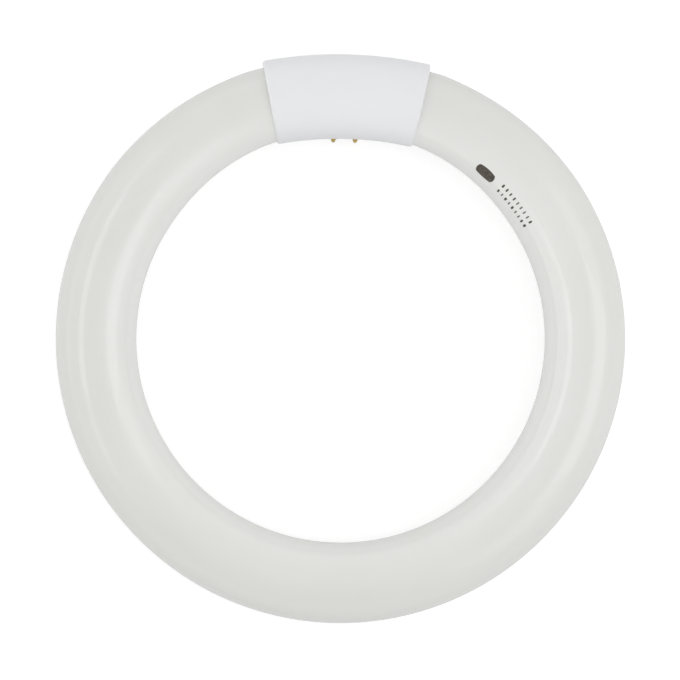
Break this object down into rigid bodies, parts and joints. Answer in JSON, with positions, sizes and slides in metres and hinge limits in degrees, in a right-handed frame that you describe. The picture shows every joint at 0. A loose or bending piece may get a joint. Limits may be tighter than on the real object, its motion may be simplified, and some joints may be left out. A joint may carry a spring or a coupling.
{
  "type": "circular fluorescent tube",
  "caption": "Ring-shaped fluorescent lamp: a coated glass tube bent into a circle, its ends joined by a moulded collar with contact pins.",
  "frame": {"origin": "centre of the ring, on the middle plane of the tube", "axes": "+Z is the ring's axis towards the lamp's front, +Y points from the ring's centre to the middle of the collar"},
  "size_m": [0.205, 0.2048, 0.0352],
  "materials": {
    "coated_glass": "gloss",
    "collar_plastic": "satin",
    "pin_brass": "polished",
    "lead_wire": "drawn"
  },
  "bodies": {
    "root": {"glass_tube": "coated_glass", "collar_front_shell": "collar_plastic", "collar_rear_shell": "collar_plastic", "contact_pin_left_front": "pin_brass", "contact_pin_left_rear": "pin_brass", "contact_pin_right_front": "pin_brass", "contact_pin_right_rear": "pin_brass", "lead_wire_left_front": "lead_wire", "lead_wire_left_rear": "lead_wire", "lead_wire_right_front": "lead_wire", "lead_wire_right_rear": "lead_wire"}
  },
  "joints": []
}
